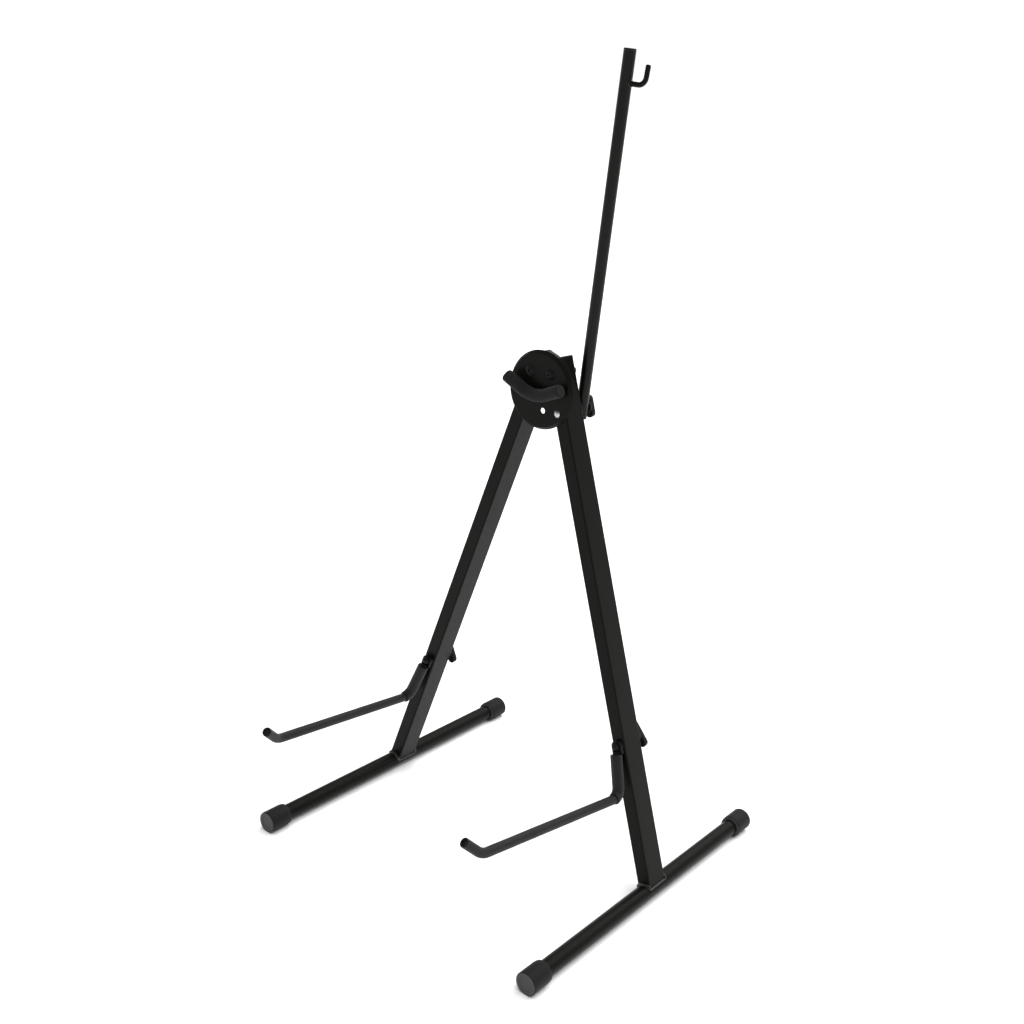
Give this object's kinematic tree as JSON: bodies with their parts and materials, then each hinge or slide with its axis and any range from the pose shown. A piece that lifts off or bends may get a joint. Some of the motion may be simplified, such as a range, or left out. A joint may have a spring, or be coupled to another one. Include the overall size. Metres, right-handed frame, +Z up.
{
  "type": "folding instrument stand",
  "caption": "Folding A-frame floor stand with a padded neck yoke, forward bent support arms, clamp knobs and a tall bow pole with a hook.",
  "frame": {"origin": "on the floor, under the middle of the whole stand's bounding box", "axes": "+Z up, +X to the right seen from the front, and the front, where the arms point, faces -Y"},
  "size_m": [0.5634, 0.6272, 1.1955],
  "materials": {
    "black_powder_coat": "satin black powder coat",
    "black_bolt": "black zinc plated steel",
    "zinc_steel": "bright zinc plated steel",
    "rubber_cap": "matt black moulded rubber",
    "rubber_sleeve": "matt black rubber tube",
    "yoke_foam": "matt black closed-cell foam grip",
    "black_plastic": "black moulded nylon",
    "knob_plastic": "black moulded nylon, fine texture",
    "brass_insert": "turned brass"
  },
  "bodies": {
    "right_frame": {"right_leg_tube": "black_powder_coat", "right_leg_plug": "black_plastic", "right_foot_tube": "black_powder_coat", "right_front_foot_cap": "rubber_cap", "right_rear_foot_cap": "rubber_cap", "hub_plate": "black_powder_coat", "hub_spacers": "zinc_steel", "leg_bolt": "black_bolt", "leg_pivot_bolt": "black_bolt", "leg_bolt_washers": "zinc_steel", "leg_bolt_nuts": "zinc_steel", "pole_bolt": "zinc_steel", "pole_spacer": "black_powder_coat", "right_arm_bolt": "black_bolt", "right_arm_washers": "black_plastic"},
    "left_frame": {"left_leg_tube": "black_powder_coat", "left_leg_plug": "black_plastic", "left_foot_tube": "black_powder_coat", "left_front_foot_cap": "rubber_cap", "left_rear_foot_cap": "rubber_cap", "left_arm_bolt": "black_bolt", "left_arm_washers": "black_plastic"},
    "neck_yoke": {"yoke_stem": "zinc_steel", "yoke_jam_nut": "zinc_steel", "yoke_rod": "black_powder_coat", "yoke_foam": "yoke_foam"},
    "bow_pole": {"pole_tube": "black_powder_coat", "pole_top_cap": "black_plastic", "pole_bottom_plug": "black_plastic", "bow_hook": "black_powder_coat"},
    "right_arm": {"right_arm_rod": "black_powder_coat", "right_arm_bumper": "rubber_sleeve", "right_arm_sleeve": "rubber_sleeve"},
    "left_arm": {"left_arm_rod": "black_powder_coat", "left_arm_bumper": "rubber_sleeve", "left_arm_sleeve": "rubber_sleeve"},
    "right_knob": {"right_arm_knob": "knob_plastic", "right_arm_knob_insert": "brass_insert"},
    "left_knob": {"left_arm_knob": "knob_plastic", "left_arm_knob_insert": "brass_insert"},
    "rear_knob": {"pole_knob": "knob_plastic", "pole_knob_insert": "brass_insert"}
  },
  "joints": [
    {"name": "leg_fold", "type": "hinge", "parent": "right_frame", "child": "left_frame", "pos_m": [-0.0177, 0.05107, 0.75694], "axis": [0, -1, 0], "range_deg": [0, 36.9]},
    {"name": "yoke_swivel", "type": "hinge", "parent": "right_frame", "child": "neck_yoke", "pos_m": [0, 0.01317, 0.7265], "axis": [0, 1, 0], "range_deg": [-90, 90]},
    {"name": "pole_swing", "type": "hinge", "parent": "right_frame", "child": "bow_pole", "pos_m": [0.03542, 0.08407, 0.70381], "axis": [0, 1, 0], "range_deg": [0, 150]},
    {"name": "right_arm_swing", "type": "hinge", "parent": "right_frame", "child": "right_arm", "pos_m": [0.19176, 0.03107, 0.23521], "axis": [0, 1, 0], "range_deg": [-30, 30]},
    {"name": "left_arm_swing", "type": "hinge", "parent": "left_frame", "child": "left_arm", "pos_m": [-0.19176, 0.03107, 0.23521], "axis": [0, 1, 0], "range_deg": [-30, 30]},
    {"name": "right_knob_turn", "type": "hinge", "parent": "right_frame", "child": "right_knob", "pos_m": [0.19176, 0.07907, 0.23521], "axis": [0, 1, 0], "continuous": true},
    {"name": "left_knob_turn", "type": "hinge", "parent": "left_frame", "child": "left_knob", "pos_m": [-0.19176, 0.07907, 0.23521], "axis": [0, 1, 0], "continuous": true},
    {"name": "pole_knob_turn", "type": "hinge", "parent": "right_frame", "child": "rear_knob", "pos_m": [0.03542, 0.10107, 0.70381], "axis": [0, 1, 0], "continuous": true}
  ]
}
